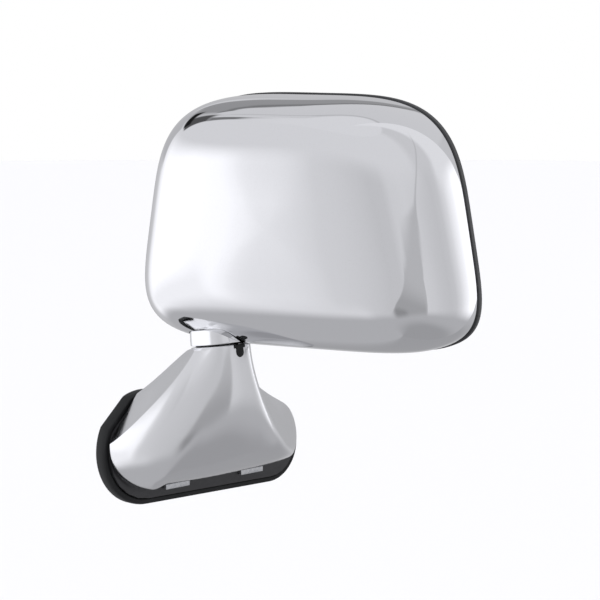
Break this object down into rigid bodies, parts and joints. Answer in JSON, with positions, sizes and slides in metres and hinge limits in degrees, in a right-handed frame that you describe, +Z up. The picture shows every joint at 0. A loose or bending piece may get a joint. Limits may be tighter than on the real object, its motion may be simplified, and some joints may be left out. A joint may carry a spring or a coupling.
{
  "type": "vehicle door mirror",
  "caption": "Folding pickup door mirror: deep chrome shell, chrome foot on a rubber gasket, and glass on a sprung ball joint.",
  "frame": {"origin": "on the foot's sealing face, in the plane of the door skin, at the middle of the foot's length", "axes": "+X stands off the door, outboard; +Y to the rear of the vehicle, the way the glass faces; +Z up"},
  "size_m": [0.212, 0.1649, 0.2548],
  "materials": {
    "chrome": "bright chrome plating on moulded plastic",
    "rubber": "smooth moulded rubber, dull",
    "black_cast": "black paint on die-cast zinc alloy",
    "bare_cast": "die-cast, unpainted",
    "black_plastic": "fine moulded grain",
    "nylon": "natural nylon, waxy",
    "foam": "closed-cell foam",
    "silvered_glass": "flat silvered glass",
    "bright_steel": "clear zinc plating",
    "passivated_steel": "yellow passivated zinc"
  },
  "bodies": {
    "foot": {"door_gasket": "rubber", "foot_bracket": "black_cast", "foot_cover": "chrome", "notch_plug": "rubber", "cover_clip_1": "bright_steel", "cover_clip_2": "bright_steel", "mounting_screw_1": "passivated_steel", "mounting_screw_2": "passivated_steel", "mounting_screw_3": "passivated_steel", "detent_ring_lower": "bright_steel", "pivot_bolt": "passivated_steel", "pivot_nut": "passivated_steel", "spring_seat_upper": "bright_steel", "fold_spring": "bright_steel", "neck_seal": "rubber"},
    "head": {"neck_collar": "chrome", "head_bracket": "bare_cast", "housing_shell": "chrome", "bezel": "black_plastic", "shell_screw_1": "passivated_steel", "shell_screw_2": "passivated_steel", "shell_screw_3": "passivated_steel", "shell_screw_4": "passivated_steel", "detent_ring_upper": "bright_steel", "spring_seat_lower": "bright_steel", "ball_stud": "bright_steel", "ball_stud_nut": "passivated_steel"},
    "glass_gimbal": {"ball_liner": "nylon"},
    "glass": {"glass_carrier": "black_plastic", "mirror_glass": "silvered_glass", "bonding_pad": "foam", "socket_retainer": "bright_steel", "retainer_spring_1": "bright_steel", "retainer_spring_2": "bright_steel", "retainer_spring_3": "bright_steel", "retainer_screw_1": "passivated_steel", "retainer_screw_2": "passivated_steel", "retainer_screw_3": "passivated_steel"}
  },
  "joints": [
    {"name": "fold", "type": "hinge", "parent": "foot", "child": "head", "pos_m": [0.058, -0.038, 0.0636], "axis": [-0.1392, 0, 0.9903], "range_deg": [-50, 65]},
    {"name": "glass_pan", "type": "hinge", "parent": "head", "child": "glass_gimbal", "pos_m": [0.10128, -0.0116, 0.138], "axis": [0.0082, 0.003, 1], "range_deg": [-6.5, 6.5]},
    {"name": "glass_tilt", "type": "hinge", "parent": "glass_gimbal", "child": "glass", "pos_m": [0.10128, -0.0116, 0.138], "axis": [0.9397, 0.342, -0.0087], "range_deg": [-6.5, 6.5]}
  ]
}
